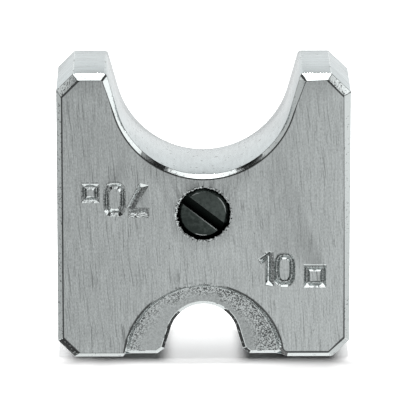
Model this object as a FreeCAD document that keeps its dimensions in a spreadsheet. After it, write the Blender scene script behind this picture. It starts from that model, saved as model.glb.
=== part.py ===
import FreeCAD
import Part
import Sketcher
import math
import os

# Crimp die insert: a square steel die block with a large and a small half-round nest, and a ball
# detent in a stepped bore through its centre, closed from the front by a slotted set screw.
# Frame: origin at the middle of the block's base, +Z up, the stamped front face looks along -Y.

doc = FreeCAD.newDocument("crimp_die_insert")

# Driving sizes, in millimetres and degrees
SIZES = {
    # Die block
    "block_width": 26.7,
    "block_height": 26.7,
    "block_thickness": 10,
    "corner_cut": 1.55,
    "face_bevel": 0.46,
    "arm_top_bevel": 0.53,
    "nest_bevel": 0.35,
    # Large nest, open at the top of the block
    "large_nest_radius": 8.1,
    "large_nest_depth": 9.41,
    "large_nest_flare": 15.6,
    "arm_tip_round": 0.4,
    # Small nest, open at the base of the block
    "small_nest_radius": 3.13,
    "small_nest_depth": 4.72,
    "small_nest_flare": 16.5,
    "small_mouth_chamfer": 0.5,
    # Round recess in both faces, which narrows the die at the small nest
    "recess_radius": 7.27,
    "recess_axis_drop": 0.33,
    "recess_depth": 1.1,
    "recess_wall_slant": 0.45,
    # Detent bore: thread at the front, ball bore behind it, conical seat at the back
    "bore_rise": 0.28,
    "thread_diameter": 5,
    "thread_clearance": 0.04,
    "thread_runout": 0.5,
    "seat_half_angle": 30,
    "seat_clearance": 0.04,
    # Detent ball
    "ball_diameter": 3,
    "ball_clearance": 0.05,
    "ball_projection": 0.7,
    # Detent spring
    "spring_mean_diameter": 2.2,
    "spring_wire": 0.3,
    "spring_turns": 2.25,
    "spring_clearance": 0.03,
    # Slotted set screw
    "screw_length": 5,
    "screw_sink": 0.2,
    "screw_face_diameter": 4.14,
    "screw_point_diameter": 3.5,
    "slot_width": 0.88,
    "slot_depth": 1.4,
    "slot_angle": 38,
}

sheet = doc.addObject("Spreadsheet::Sheet", "Sizes")
for row, (alias, value) in enumerate(SIZES.items(), start=1):
    sheet.set(f"A{row}", alias)
    sheet.set(f"B{row}", str(value))
    sheet.setAlias(f"B{row}", alias)
doc.recompute()

# Places and radii that follow from the driving sizes. The bore runs along Y, bore_rise above mid-height.
BORE_HEIGHT = "Sizes.block_height / 2 + Sizes.bore_rise"
FRONT_FACE = "-Sizes.block_thickness / 2"
BACK_FACE = "Sizes.block_thickness / 2"
SCREW_FACE = "-Sizes.block_thickness / 2 + Sizes.screw_sink"
SCREW_POINT = f"{SCREW_FACE} + Sizes.screw_length"
SCREW_RADIUS = "(Sizes.thread_diameter / 2 - Sizes.thread_clearance)"
BORE_SHOULDER = f"{SCREW_POINT} + Sizes.thread_runout"
BALL_RADIUS = "(Sizes.ball_diameter / 2)"
BALL_BORE_RADIUS = f"({BALL_RADIUS} + Sizes.ball_clearance)"
BALL_CENTRE = f"{BACK_FACE} + Sizes.ball_projection - {BALL_RADIUS}"
# The seat is a cone round the ball at seat_clearance, and its narrow end retains the ball.
SEAT_MOUTH_RADIUS = (
    f"(({BALL_RADIUS} + Sizes.seat_clearance) / cos(Sizes.seat_half_angle)"
    f" - ({BALL_RADIUS} - Sizes.ball_projection) * tan(Sizes.seat_half_angle))"
)
SEAT_START = (
    f"{BACK_FACE} - ({BALL_BORE_RADIUS} - {SEAT_MOUTH_RADIUS}) / tan(Sizes.seat_half_angle)"
)
# The spring's ground end stops short of the ball where its inner edge would touch it.
SPRING_INNER_RADIUS = "((Sizes.spring_mean_diameter - Sizes.spring_wire) / 2)"
SPRING_LENGTH = (
    f"{BALL_CENTRE} - sqrt({BALL_RADIUS}^2 - {SPRING_INNER_RADIUS}^2)"
    f" - Sizes.spring_clearance - ({SCREW_POINT})"
)


def evaluate(expression):
    """The number that an expression on the sheet gives."""
    result = sheet.evalExpression(expression)
    return float(getattr(result, "Value", result))


def size(alias):
    return evaluate(f"Sizes.{alias}")


def new_body(name):
    body = doc.addObject("PartDesign::Body", name)
    body.Label = name
    return body


def new_sketch(body, name, role, raised_by=None):
    """A sketch on one of the body's own origin planes, its origin raised along its vertical axis."""
    sketch = body.newObject("Sketcher::SketchObject", name)
    plane = next(f for f in body.Origin.OriginFeatures if f.Role == role)
    sketch.AttachmentSupport = [(plane, "")]
    sketch.MapMode = "FlatFace"
    if raised_by:
        sketch.setExpression("AttachmentOffset.Base.y", raised_by)
    doc.recompute()
    return sketch


def constrain(sketch, name, expression, kind, *where):
    """Add a dimension to the sketch, named, and bound to the sheet."""
    value = evaluate(expression)
    if kind == "Angle":
        value = math.radians(value)
    index = sketch.addConstraint(Sketcher.Constraint(kind, *where, value))
    sketch.renameConstraint(index, name)
    sketch.setExpression(f"Constraints.{name}", expression)


def add_line(sketch, start, end):
    segment = Part.LineSegment(FreeCAD.Vector(*start, 0), FreeCAD.Vector(*end, 0))
    return sketch.addGeometry(segment, False)


def add_profile(sketch, corners):
    """Closed profile whose corners are (name, across, up), two expressions each, or 0 on an axis."""
    points = [
        tuple(evaluate(part) if part else 0.0 for part in (across, up)) for _, across, up in corners
    ]
    lines = [add_line(sketch, a, b) for a, b in zip(points, points[1:] + points[:1])]
    for line, following in zip(lines, lines[1:] + lines[:1]):
        sketch.addConstraint(Sketcher.Constraint("Coincident", line, 2, following, 1))
    for line, (name, across, up) in zip(lines, corners):
        if across:
            constrain(sketch, f"{name}_across", across, "DistanceX", -1, 1, line, 1)
        else:
            sketch.addConstraint(Sketcher.Constraint("PointOnObject", line, 1, -2))
        if up:
            constrain(sketch, f"{name}_up", up, "DistanceY", -1, 1, line, 1)
        else:
            sketch.addConstraint(Sketcher.Constraint("PointOnObject", line, 1, -1))


def cut(body, kind, name, **properties):
    """A Pocket or Groove that must remove material from the body."""
    before = body.Tip.Shape.Volume
    feature = body.newObject(f"PartDesign::{kind}", name)
    for key, value in properties.items():
        setattr(feature, key, value)
    doc.recompute()
    if feature.Shape.isNull() or feature.Shape.Volume > before - 1e-6:
        raise RuntimeError(f"{name} cut nothing")
    return feature


def dress(body, kind, name, wanted, alias):
    """Chamfer or fillet those edges of the body for which wanted(edge) holds."""
    base = body.Tip
    names = [f"Edge{i}" for i, edge in enumerate(base.Shape.Edges, start=1) if wanted(edge)]
    feature = body.newObject(f"PartDesign::{kind}", name)
    feature.Base = (base, names)
    feature.setExpression("Size" if kind == "Chamfer" else "Radius", f"Sizes.{alias}")
    doc.recompute()
    if not names or feature.Shape.isNull() or feature.Shape.Volume > base.Shape.Volume - 1e-6:
        raise RuntimeError(f"{name} changed nothing")
    return feature


# Die body: the block with its corner cuts
die_body = new_body("die_body")

block_outline = new_sketch(die_body, "block_outline", "XZ_Plane")
HALF_WIDTH = "Sizes.block_width / 2"
add_profile(
    block_outline,
    [
        ("left_base", f"-{HALF_WIDTH}", 0),
        ("right_base", HALF_WIDTH, 0),
        ("right_top", HALF_WIDTH, "Sizes.block_height"),
        ("left_top", f"-{HALF_WIDTH}", "Sizes.block_height"),
    ],
)
block = die_body.newObject("PartDesign::Pad", "block")
block.Profile = block_outline
block.SideType = "Symmetric"
block.setExpression("Length", "Sizes.block_thickness")
doc.recompute()


def along_depth(edge):
    """True for an edge that runs straight through the block, from front to back."""
    box = edge.BoundBox
    return box.XLength < 1e-6 and box.ZLength < 1e-6 and box.YLength > 1e-3


dress(die_body, "Chamfer", "corner_cuts", along_depth, "corner_cut")


def cut_nest(name, upwards):
    """Half-round nest through the block: an arc with tangent walls that flare towards its mouth."""
    way = 1 if upwards else -1
    mouth_height = "Sizes.block_height" if upwards else "0"
    centre_height = f"{mouth_height} - {way} * (Sizes.{name}_depth - Sizes.{name}_radius)"
    beyond_mouth = f"{mouth_height} + {way} * Sizes.{name}_radius"
    radius = size(f"{name}_radius")
    flare = math.radians(size(f"{name}_flare"))
    centre_z = evaluate(centre_height)
    outer_z = evaluate(beyond_mouth)
    tangent_x = way * radius * math.cos(flare)
    tangent_z = centre_z - way * radius * math.sin(flare)
    outer_x = tangent_x + way * abs(outer_z - tangent_z) * math.tan(flare)

    # The arc turns anticlockwise, so it ends on the right in a nest that opens upwards.
    sketch = new_sketch(die_body, f"{name}_profile", "XZ_Plane")
    circle = Part.Circle(FreeCAD.Vector(0, centre_z, 0), FreeCAD.Vector(0, 0, 1), radius)
    first_angle = flare + math.pi * upwards
    last_angle = first_angle + math.pi - 2 * flare
    arc = sketch.addGeometry(Part.ArcOfCircle(circle, first_angle, last_angle), False)
    last_wall = add_line(sketch, (tangent_x, tangent_z), (outer_x, outer_z))
    mouth = add_line(sketch, (outer_x, outer_z), (-outer_x, outer_z))
    first_wall = add_line(sketch, (-outer_x, outer_z), (-tangent_x, tangent_z))
    for constraint in (
        ("PointOnObject", arc, 3, -2),
        ("Tangent", arc, 2, last_wall, 1),
        ("Tangent", arc, 1, first_wall, 2),
        ("Coincident", last_wall, 2, mouth, 1),
        ("Coincident", mouth, 2, first_wall, 1),
        ("Symmetric", last_wall, 2, first_wall, 1, -2),
    ):
        sketch.addConstraint(Sketcher.Constraint(*constraint))
    constrain(sketch, "radius", f"Sizes.{name}_radius", "Radius", arc)
    constrain(sketch, "centre_height", centre_height, "DistanceY", -1, 1, arc, 3)
    constrain(sketch, "beyond_mouth", beyond_mouth, "DistanceY", -1, 1, mouth, 1)
    constrain(sketch, "wall_angle", f"{way} * 90 - Sizes.{name}_flare", "Angle", last_wall)
    cut(die_body, "Pocket", name, Profile=sketch, Type="ThroughAll", Midplane=True)


cut_nest("large_nest", upwards=True)
cut_nest("small_nest", upwards=False)


def at_height(edge, alias_or_zero):
    level = size(alias_or_zero) if alias_or_zero else 0.0
    return abs(edge.CenterOfMass.z - level) < 1e-6


def clear_of_corner_cuts(edge):
    return abs(edge.CenterOfMass.x) < size("block_width") / 2 - size("corner_cut") - 1e-3


dress(
    die_body, "Chamfer", "small_mouth",
    lambda e: along_depth(e) and at_height(e, 0) and clear_of_corner_cuts(e),
    "small_mouth_chamfer",
)


def in_plane(edge, depth):
    """True for an edge that lies flat at this distance in front of or behind the middle plane."""
    box = edge.BoundBox
    return box.YLength < 1e-6 and abs(abs(box.YMax) - depth) < 1e-6


def on_outline(edge):
    """True for an edge on the block's outer outline, corner cuts included."""
    middle = edge.CenterOfMass
    from_side = size("block_width") / 2 - abs(middle.x)
    from_end = min(middle.z, size("block_height") - middle.z)
    return min(from_side, from_end) < 1e-6 or from_side + from_end < size("corner_cut") + 1e-6


half_thickness = size("block_thickness") / 2
dress(
    die_body, "Chamfer", "nest_bevels",
    lambda e: in_plane(e, half_thickness) and not on_outline(e),
    "nest_bevel",
)
dress(
    die_body, "Chamfer", "face_bevels",
    lambda e: in_plane(e, half_thickness) and on_outline(e) and not at_height(e, "block_height"),
    "face_bevel",
)

# The tops of the arms have a wider bevel, cut straight across both of them.
for place, face, inwards in (("front", FRONT_FACE, "+"), ("back", BACK_FACE, "-")):
    bevel_profile = new_sketch(die_body, f"{place}_arm_bevel_profile", "YZ_Plane")
    add_profile(
        bevel_profile,
        [
            ("edge", face, "Sizes.block_height"),
            ("top", f"{face} {inwards} Sizes.arm_top_bevel", "Sizes.block_height"),
            ("face", face, "Sizes.block_height - Sizes.arm_top_bevel"),
        ],
    )
    cut(
        die_body, "Pocket", f"{place}_arm_bevel",
        Profile=bevel_profile, Type="ThroughAll", Midplane=True,
    )

dress(
    die_body, "Fillet", "arm_tips",
    lambda e: along_depth(e) and at_height(e, "block_height") and clear_of_corner_cuts(e),
    "arm_tip_round",
)

# Recess round the small nest: turned into the front face and mirrored onto the back face
recess_profile = new_sketch(die_body, "recess_profile", "YZ_Plane", "-Sizes.recess_axis_drop")
RECESS_FLOOR = f"{FRONT_FACE} + Sizes.recess_depth"
add_profile(
    recess_profile,
    [
        ("axis_front", FRONT_FACE, 0),
        ("rim", FRONT_FACE, "Sizes.recess_radius"),
        ("floor_edge", RECESS_FLOOR, "Sizes.recess_radius - Sizes.recess_wall_slant"),
        ("axis_floor", RECESS_FLOOR, 0),
    ],
)
recess = cut(
    die_body, "Groove", "recess", Profile=recess_profile, ReferenceAxis=(recess_profile, ["H_Axis"])
)
recess_pair = die_body.newObject("PartDesign::Mirrored", "recess_pair")
recess_pair.Originals = [recess]
recess_pair.MirrorPlane = (
    next(f for f in die_body.Origin.OriginFeatures if f.Role == "XZ_Plane"), [""]
)
die_body.Tip = recess_pair
doc.recompute()


def round_recess_edge(edge):
    """True for the recess floor's round outer edge, which stays sharp."""
    floor_radius = size("recess_radius") - size("recess_wall_slant")
    curve = edge.Curve
    return isinstance(curve, Part.Circle) and abs(curve.Radius - floor_radius) < 1e-6


dress(
    die_body, "Chamfer", "recess_bevels",
    lambda e: in_plane(e, half_thickness - size("recess_depth")) and not round_recess_edge(e),
    "nest_bevel",
)

# Stepped bore for the detent, turned round its own axis
bore_profile = new_sketch(die_body, "bore_profile", "YZ_Plane", BORE_HEIGHT)
add_profile(
    bore_profile,
    [
        ("axis_front", FRONT_FACE, 0),
        ("thread_mouth", FRONT_FACE, "Sizes.thread_diameter / 2"),
        ("thread_end", BORE_SHOULDER, "Sizes.thread_diameter / 2"),
        ("shoulder", BORE_SHOULDER, BALL_BORE_RADIUS),
        ("seat_start", SEAT_START, BALL_BORE_RADIUS),
        ("seat_mouth", BACK_FACE, SEAT_MOUTH_RADIUS),
        ("axis_back", BACK_FACE, 0),
    ],
)
cut(die_body, "Groove", "detent_bore", Profile=bore_profile, ReferenceAxis=(bore_profile, ["H_Axis"]))


def along_bore(part, turn, **expressions):
    """Place a sub-part so that its own Z axis runs along the bore; Z points to the front for turn 90."""
    part.Placement = FreeCAD.Placement(
        FreeCAD.Vector(0, 0, 0), FreeCAD.Rotation(FreeCAD.Vector(1, 0, 0), turn)
    )
    part.setExpression("Placement.Base.z", BORE_HEIGHT)
    for axis, expression in expressions.items():
        part.setExpression(f"Placement.Base.{axis}", expression)


# Set screw: its own origin is the middle of the slotted face, and it points down its own -Z
set_screw = new_body("set_screw")
screw_profile = new_sketch(set_screw, "screw_profile", "XZ_Plane")
FACE_RADIUS = "Sizes.screw_face_diameter / 2"
POINT_RADIUS = "Sizes.screw_point_diameter / 2"
add_profile(
    screw_profile,
    [
        ("face_middle", 0, 0),
        ("face_edge", FACE_RADIUS, 0),
        ("thread_start", SCREW_RADIUS, f"-({SCREW_RADIUS} - {FACE_RADIUS})"),
        ("thread_end", SCREW_RADIUS, f"-(Sizes.screw_length - ({SCREW_RADIUS} - {POINT_RADIUS}))"),
        ("point_edge", POINT_RADIUS, "-Sizes.screw_length"),
        ("point_middle", 0, "-Sizes.screw_length"),
    ],
)
shank = set_screw.newObject("PartDesign::Revolution", "shank")
shank.Profile = screw_profile
shank.ReferenceAxis = (screw_profile, ["V_Axis"])
doc.recompute()

slot_profile = new_sketch(set_screw, "slot_profile", "XY_Plane")
slot_profile.setExpression("AttachmentOffset.Rotation.Angle", "-Sizes.slot_angle")
HALF_SLOT = "Sizes.slot_width / 2"
SLOT_REACH = "Sizes.thread_diameter"
add_profile(
    slot_profile,
    [
        ("left_low", f"-{SLOT_REACH}", f"-{HALF_SLOT}"),
        ("right_low", SLOT_REACH, f"-{HALF_SLOT}"),
        ("right_high", SLOT_REACH, HALF_SLOT),
        ("left_high", f"-{SLOT_REACH}", HALF_SLOT),
    ],
)
slot = cut(set_screw, "Pocket", "slot", Profile=slot_profile, Length=size("slot_depth"))
slot.setExpression("Length", "Sizes.slot_depth")
along_bore(set_screw, 90, y=SCREW_FACE)

# Detent spring: open coils with ground ends, from the set screw's point to the ball
detent_spring = new_body("detent_spring")
wire_profile = new_sketch(detent_spring, "wire_profile", "XZ_Plane")
wire_circle = wire_profile.addGeometry(
    Part.Circle(
        FreeCAD.Vector(size("spring_mean_diameter") / 2, 0, 0),
        FreeCAD.Vector(0, 0, 1),
        size("spring_wire") / 2,
    ),
    False,
)
wire_profile.addConstraint(Sketcher.Constraint("PointOnObject", wire_circle, 3, -1))
constrain(
    wire_profile, "coil_radius", "Sizes.spring_mean_diameter / 2", "DistanceX", -1, 1, wire_circle, 3
)
constrain(wire_profile, "wire_radius", "Sizes.spring_wire / 2", "Radius", wire_circle)
coils = detent_spring.newObject("PartDesign::AdditiveHelix", "coils")
coils.Profile = wire_profile
coils.ReferenceAxis = (wire_profile, ["V_Axis"])
coils.Mode = "height-turns-angle"
coils.setExpression("Height", SPRING_LENGTH)
coils.setExpression("Turns", "Sizes.spring_turns")
doc.recompute()
for end, level, outwards in (("screw_end", "0", False), ("ball_end", SPRING_LENGTH, True)):
    grinding = new_sketch(detent_spring, f"{end}_profile", "XY_Plane")
    grinding.setExpression("AttachmentOffset.Base.z", level)
    wheel = grinding.addGeometry(
        Part.Circle(FreeCAD.Vector(0, 0, 0), FreeCAD.Vector(0, 0, 1), size("spring_mean_diameter")),
        False,
    )
    grinding.addConstraint(Sketcher.Constraint("Coincident", wheel, 3, -1, 1))
    constrain(grinding, "reach", "Sizes.spring_mean_diameter", "Radius", wheel)
    cut(
        detent_spring, "Pocket", f"{end}_ground",
        Profile=grinding, Type="ThroughAll", Reversed=outwards,
    )
along_bore(detent_spring, -90, y=SCREW_POINT)

# Detent ball
detent_ball = doc.addObject("Part::Sphere", "detent_ball")
detent_ball.Label = "detent_ball"
detent_ball.setExpression("Radius", BALL_RADIUS)
along_bore(detent_ball, -90, y=BALL_CENTRE)

doc.recompute()

# Nothing is written unless every object is sound.
for obj in doc.Objects:
    if {"Invalid", "Error"} & set(obj.State):
        raise RuntimeError(f"{obj.Name} failed: {obj.State}")
subparts = [die_body, set_screw, detent_spring, detent_ball]
for subpart in subparts:
    if subpart.Shape.isNull() or not subpart.Shape.isValid() or len(subpart.Shape.Solids) != 1:
        raise RuntimeError(f"{subpart.Label} is not one valid solid")

os.makedirs("parts", exist_ok=True)
for subpart in subparts:
    subpart.Shape.exportStep(f"parts/{subpart.Label}.step")
    box = subpart.Shape.BoundBox
    print(
        f"{subpart.Label}: {subpart.Shape.Volume:.3f} mm3,"
        f" x {box.XMin:.2f} {box.XMax:.2f}, y {box.YMin:.2f} {box.YMax:.2f}, z {box.ZMin:.2f} {box.ZMax:.2f}"
    )
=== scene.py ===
import math

import bmesh
import bpy
from mathutils import Matrix, Vector, noise


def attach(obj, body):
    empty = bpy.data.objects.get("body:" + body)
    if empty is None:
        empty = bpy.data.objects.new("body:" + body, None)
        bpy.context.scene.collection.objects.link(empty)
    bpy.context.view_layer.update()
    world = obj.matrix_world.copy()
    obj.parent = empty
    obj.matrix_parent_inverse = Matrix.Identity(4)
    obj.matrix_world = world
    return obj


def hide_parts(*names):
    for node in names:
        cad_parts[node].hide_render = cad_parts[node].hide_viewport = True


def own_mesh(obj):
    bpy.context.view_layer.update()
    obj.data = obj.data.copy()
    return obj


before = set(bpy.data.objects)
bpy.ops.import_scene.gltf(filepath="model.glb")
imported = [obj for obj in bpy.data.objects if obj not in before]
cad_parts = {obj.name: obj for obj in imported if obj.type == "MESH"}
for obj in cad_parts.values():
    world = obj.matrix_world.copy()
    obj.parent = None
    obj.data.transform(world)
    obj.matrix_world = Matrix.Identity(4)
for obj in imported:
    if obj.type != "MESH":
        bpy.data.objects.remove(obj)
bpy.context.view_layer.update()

MM = 0.001

# Places on the die, in millimetres, as the construction has them. X is measured from the middle,
# Y from half-way between the faces and Z, as every axis's height, from the base.
HEIGHT = 26.7
FRONT = -5.0
BACK = 5.0
RECESS_DEPTH = 1.1
RECESS_RADIUS = 7.27
RECESS_AXIS = -0.33
BORE_AXIS = 13.63
# The large nest as its bevel runs on the face: round, and flared above NEST_FLARE_START
NEST_AXIS = 25.39
NEST_FLARE = math.radians(15.6)
NEST_FLARE_START = 23.1
# The screw: its end face, the slot sawn across it, its thread and its point
SCREW_FACE = -4.8
SCREW_LENGTH = 5.0
FACE_RADIUS = 2.07
SLOT_WIDTH = 0.88
SLOT_DEPTH = 1.4
SLOT_TURN = math.radians(38.0)
SCREW_RADIUS = 2.46
PITCH = 0.8
POINT_RADIUS = 1.75
# The detent behind it
SPRING_START = 0.2
SPRING_LENGTH = 2.809
SPRING_RADIUS = 1.1
SPRING_TURNS = 2.25
WIRE_RADIUS = 0.15
BALL_CENTRE = 4.2
BALL_RADIUS = 1.5

# A face or point this near to a plane of the solid, or to one of its corners, lies on it.
NEAR = 0.01
AT_CORNER = 0.02

FULL_TURN = 2 * math.pi


def mm(*values):
    """A place given in millimetres, in metres."""
    return Vector(values) * MM


# Shaders written as expressions


class Value:
    """A node's output; Python's operators on it add Math nodes."""

    def __init__(self, finish, socket):
        self.finish = finish
        self.socket = socket

    def math(self, operation, *others):
        return self.finish.node("ShaderNodeMath", {"operation": operation}, (self, *others))

    def __add__(self, other):
        return self.math("ADD", other)

    def __mul__(self, other):
        return self.math("MULTIPLY", other)

    def __sub__(self, other):
        return self.math("SUBTRACT", other)

    def __rsub__(self, other):
        return self.finish.node("ShaderNodeMath", {"operation": "SUBTRACT"}, (other, self))

    def __gt__(self, other):
        return self.math("GREATER_THAN", other)

    def __lt__(self, other):
        return self.math("LESS_THAN", other)

    __radd__ = __add__
    __rmul__ = __mul__

    def absolute(self):
        """How far this value is from zero."""
        return self.math("ABSOLUTE")

    def hypot(self, other):
        """Distance from an axis, where this and the other value are the offsets from it."""
        return (self * self + other * other).math("SQRT")

    def or_more(self, *others):
        """The highest of this value and the others."""
        highest = self
        for other in others:
            highest = highest.math("MAXIMUM", other)
        return highest

    def ramp(self, low, high, floor=0.0, ceiling=1.0):
        """This value taken smoothly from floor at low to ceiling at high."""
        return self.finish.node(
            "ShaderNodeMapRange",
            {"interpolation_type": "SMOOTHSTEP"},
            {"Value": self, "From Min": low, "From Max": high, "To Min": floor, "To Max": ceiling},
        )


class Finish:
    """A node tree, for a material or the world, whose nodes are made one call each."""

    def __init__(self, owner):
        owner.use_nodes = True
        self.tree = owner.node_tree
        self.tree.nodes.clear()

    def node(self, kind, settings=None, sockets=(), output=0):
        """A node of this type: its settings first, then the values or links of its sockets."""
        made = self.tree.nodes.new(kind)
        for setting, value in (settings or {}).items():
            setattr(made, setting, value)
        pairs = sockets.items() if isinstance(sockets, dict) else enumerate(sockets)
        for socket, value in pairs:
            if isinstance(value, Value):
                self.tree.links.new(value.socket, made.inputs[socket])
            else:
                made.inputs[socket].default_value = value
        return Value(self, made.outputs[output]) if made.outputs else made

    def place(self):
        """The point on the piece, in millimetres."""
        point = self.node("ShaderNodeTexCoord", output="Object")
        return self.node(
            "ShaderNodeVectorMath", {"operation": "SCALE"}, {"Vector": point, "Scale": 1 / MM}
        )

    def along(self, axis, point):
        """The point's X, Y or Z."""
        return self.node("ShaderNodeSeparateXYZ", sockets={"Vector": point}, output=axis)

    def parts(self, point):
        """The point's X, Y and Z."""
        return [self.along(axis, point) for axis in "XYZ"]

    def joined(self, *parts):
        return self.node("ShaderNodeCombineXYZ", sockets=parts)

    def grain(self, point, scale, detail=2.0, roughness=0.5):
        """Noise from about 0.2 to 0.8."""
        return self.node(
            "ShaderNodeTexNoise",
            sockets={"Vector": point, "Scale": scale, "Detail": detail, "Roughness": roughness},
        )

    def grey(self, level):
        """This level as a colour."""
        return self.joined(level, level, level)

    def mixed(self, factor, one, other):
        """One colour where the factor is 0, the other where it is 1."""
        return self.node(
            "ShaderNodeMix", {"data_type": "RGBA"}, {0: factor, 6: one, 7: other}, output=2
        )

    def bumped(self, height, distance):
        """The normal of a surface with this relief, whose full height is distance millimetres."""
        return self.node("ShaderNodeBump", sockets={"Height": height, "Distance": distance * MM})


def steel(paint):
    """A metal material named for its paint, which gives its colour, roughness and normal."""
    material = bpy.data.materials.new(paint.__name__)
    finish = Finish(material)
    colour, roughness, normal = paint(finish, finish.place())
    shader = finish.node(
        "ShaderNodeBsdfPrincipled",
        sockets={"Metallic": 1.0, "Base Color": colour, "Roughness": roughness, "Normal": normal},
    )
    finish.node("ShaderNodeOutputMaterial", sockets={"Surface": shader})
    return material


def tone(level):
    """The steel's own cool grey at this level."""
    return (level * 0.94, level, level * 0.995, 1)


def cool_tone(level):
    """Its bluer grey where it is cut smooth."""
    return (level * 0.91, level, level * 1.015, 1)


# The ground face ends here, inside its broken edges: at its sides, at its cut corners (aside + Z at
# the top, aside - Z at the base), at the foot, at the recess's rim and at the large nest.
SIDE_LINE = 12.79
TOP_CORNER_LINE = 37.29
BASE_CORNER_LINE = 10.83
FOOT_LINE = 0.61
RIM_LINE = 7.4
NEST_LINE = 8.54
LINE = 0.04
WIDE_LINE = 0.06


def face_outline(x, z):
    """Thin dark line of painted edge shade that borders the ground face, just inside its broken
    edges.
    """
    aside = x.absolute()
    over_nest = z - NEST_AXIS
    round_part = x.hypot(over_nest) * (z < NEST_FLARE_START)
    flared_part = aside * math.cos(NEST_FLARE) - over_nest * math.sin(NEST_FLARE)
    from_nest = round_part + flared_part * (z > NEST_FLARE_START)
    beside_recess = x.ramp(-4.4, -5.0).or_more(x.ramp(1.5, 2.5))
    at_recess = x.hypot(z - RECESS_AXIS).ramp(RIM_LINE + WIDE_LINE, RIM_LINE) * beside_recess
    return at_recess.or_more(
        aside.ramp(SIDE_LINE - LINE, SIDE_LINE),
        (aside + z + x * 0.005).ramp(TOP_CORNER_LINE - LINE, TOP_CORNER_LINE),
        (aside - z).ramp(BASE_CORNER_LINE - WIDE_LINE, BASE_CORNER_LINE),
        z.ramp(FOOT_LINE + LINE, FOOT_LINE) * x.ramp(2, 6),
        from_nest.ramp(NEST_LINE + LINE, NEST_LINE),
    )


def ground_face(finish, point):
    """Face ground up and down: fine streaks, leaning hairlines, a few longer scratches and pits."""
    x, y, z = finish.parts(point)
    waver = (finish.grain(point, 0.35, 1.0) - 0.5) * 0.35
    across = x + z * 0.05 + waver
    leaning = x + z * 0.12 + waver
    fine = finish.grain(finish.joined(across * 9, y, z * 4), 1.0, 3.0, 0.75)
    soft = finish.grain(finish.joined(across * 6.5, y, z * 0.35), 1.0, 2.0, 0.65)
    hairs = finish.grain(finish.joined(across * 9, y + 3, z * 0.32), 1.0, 1.0).ramp(0.62, 0.68)
    scratches = finish.grain(finish.joined(leaning * 8, y + 5, z * 0.2), 1.0, 0.0).ramp(0.7, 0.77)
    cloud = finish.grain(point, 0.22, 2.0)
    pits = finish.grain(point, 4.0, 1.0).ramp(0.7, 0.76)
    stain = x.hypot(z - BORE_AXIS).ramp(3.7, 2.5) * fine
    beside_rim = x.hypot(z - RECESS_AXIS).ramp(7.65, 7.3)
    teeth = finish.grain(point, 3.5, 2.0, 0.6).ramp(0.56, 0.62) * beside_rim
    marks = hairs * 0.3 + scratches * 0.35 + pits * 0.3 + stain * 0.3 + teeth * 0.7
    level = 0.58 + (fine - 0.5) * 1.4 + (soft - 0.5) * 0.7 + (cloud - 0.5) * 0.1 - marks
    # Painted light: the face is a little darker at the left and lighter at the right.
    colour = finish.mixed((level + x * 0.005).ramp(-0.1, 1.1), tone(0.23), tone(0.65))
    # The painted edge shade along its border.
    colour = finish.mixed(face_outline(x, z) * 0.9, colour, tone(0.05))
    relief = fine * 0.4 + soft * 0.4 - marks
    return colour, (fine - 0.5) * 0.2 + 0.33, finish.bumped(relief, 0.006)


def milled_side(finish, point):
    """Outer side cut by a milling cutter: faint lines and little dents."""
    x, y, z = finish.parts(point)
    lines = finish.grain(finish.joined(x * 0.22, y * 3.4, z * 0.3), 1.0, 3.0, 0.7)
    cloud = finish.grain(point, 0.4, 2.0)
    dents = finish.grain(point, 3.0, 1.0).ramp(0.7, 0.76)
    level = (lines - 0.5) * 2.2 + (cloud - 0.5) * 0.4 - dents * 0.3 + 0.5
    colour = finish.mixed(level.ramp(0, 1), cool_tone(0.5), cool_tone(0.74))
    return colour, (lines - 0.5) * 0.15 + 0.28, finish.bumped(lines - dents, 0.004)


# The slanted joint of the large nest's bevel with those of the arm tops: its middle and direction
JOINT_ASIDE, JOINT_UP = 9.0, 26.38
ACROSS_JOINT = (0.78, 0.63)


def mitre_line(x, z):
    """Dark mark on that joint."""
    aside = x.absolute()
    across, up = ACROSS_JOINT
    from_joint = ((aside - JOINT_ASIDE) * across + (z - JOINT_UP) * up).absolute()
    return from_joint.ramp(0.13, 0.08) * (z > 26.1) * (aside < 9.3)


# The large nest's bevel lies between these heights.
NEST_BEVEL_LOW = 17.0
NEST_BEVEL_HIGH = 26.15


def bevel_cut(finish, point):
    """Narrow bevel, mirror-smooth from the cutter and painted bright, lighter to the right as light
    falls, with a little chatter and two black patches of painted dark reflection.
    """
    x, y, z = finish.parts(point)
    chatter = finish.grain(point, 2.4, 3.0, 0.6)
    dirt = finish.grain(point, 5.0, 2.0).ramp(0.64, 0.7)
    in_nest = (z > NEST_BEVEL_LOW) * (z < NEST_BEVEL_HIGH)
    # Painted light: lighter to the right, lightest on the large nest's left side, darker on its
    # right.
    metal = finish.mixed(x.ramp(-13, 13), tone(0.75), tone(0.86))
    metal = finish.mixed(x.ramp(-5.6, -6.0) * in_nest, metal, tone(0.87))
    metal = finish.mixed(x.ramp(5.0, 6.5) * in_nest, metal, tone(0.6))
    colour = finish.mixed(dirt, metal, tone(0.3))
    # One patch of painted dark reflection on each side of the large nest's floor; the right one is
    # black only farther in.
    upper = z > 10
    ragged = x + (chatter - 0.5) * 0.7
    patch_left = ragged.ramp(-5.65, -5.55) * ragged.ramp(-3.5, -3.6)
    patch_right = ragged.ramp(2.9, 3.0) * ragged.ramp(5.3, 5.2)
    colour = finish.mixed(patch_right * upper * 0.6, colour, tone(0.3))
    farther_in = y.ramp(FRONT + 0.14, FRONT + 0.24)
    black = (patch_left + patch_right * farther_in) * upper * (0.7 + dirt * 0.3)
    colour = finish.mixed(black.or_more(mitre_line(x, z)), colour, tone(0.04))
    return colour, (chatter - 0.5) * 0.1 + 0.15, finish.bumped(chatter, 0.016)


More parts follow.
